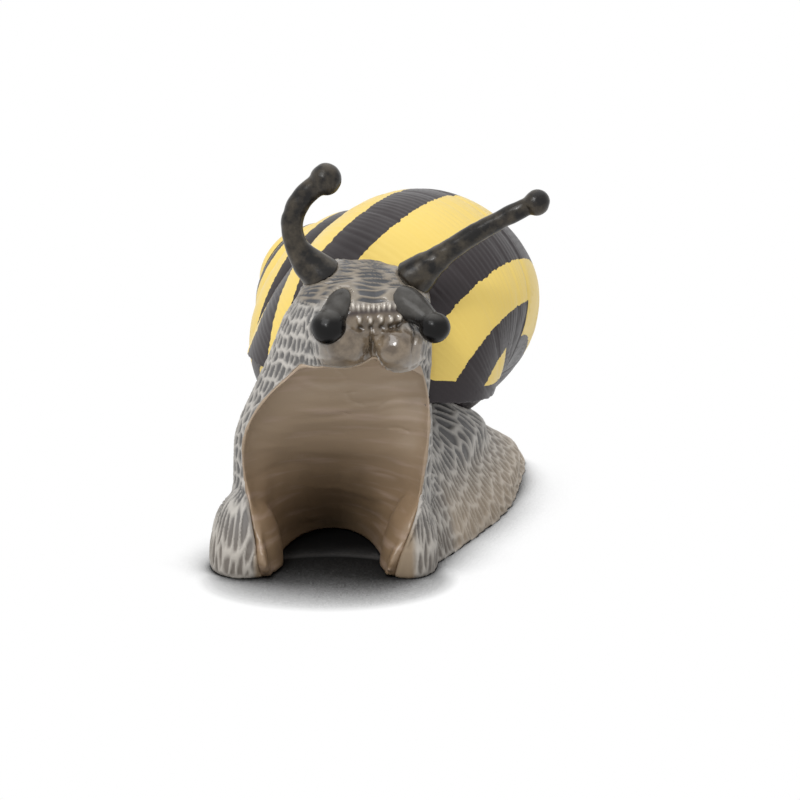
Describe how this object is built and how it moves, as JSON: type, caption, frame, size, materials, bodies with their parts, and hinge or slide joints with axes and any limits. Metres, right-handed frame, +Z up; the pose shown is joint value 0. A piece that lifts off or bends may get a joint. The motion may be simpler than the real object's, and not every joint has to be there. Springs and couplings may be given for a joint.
{
  "type": "snail figurine",
  "caption": "Snail figurine with a raised head and a banded spiral shell, standing on the flat sole of its long textured foot and on the lobes of its lifted front.",
  "frame": {"origin": "on the floor under the foot, at half the length of the foot from the front of its raised end to the tip of its tail", "axes": "+Z up, +Y from the head to the tail, so the snail looks along -Y, and +X to the snail's own left"},
  "size_m": [0.0471, 0.0763, 0.0515],
  "materials": {
    "skin": "beige soft vinyl with a blue-grey wash in its creases, satin",
    "sole": "plain smooth beige soft vinyl with a soft shine",
    "shell": "yellow soft vinyl with painted dark brown spiral bands and fine growth ribs, satin",
    "tentacle": "dark olive-grey mottled paint with a glossy black tip"
  },
  "bodies": {
    "root": {"foot_body": "skin", "sole": "sole", "shell": "shell", "upper_tentacle_right": "tentacle", "upper_tentacle_left": "tentacle", "lower_tentacle_right": "tentacle", "lower_tentacle_left": "tentacle"}
  },
  "joints": []
}
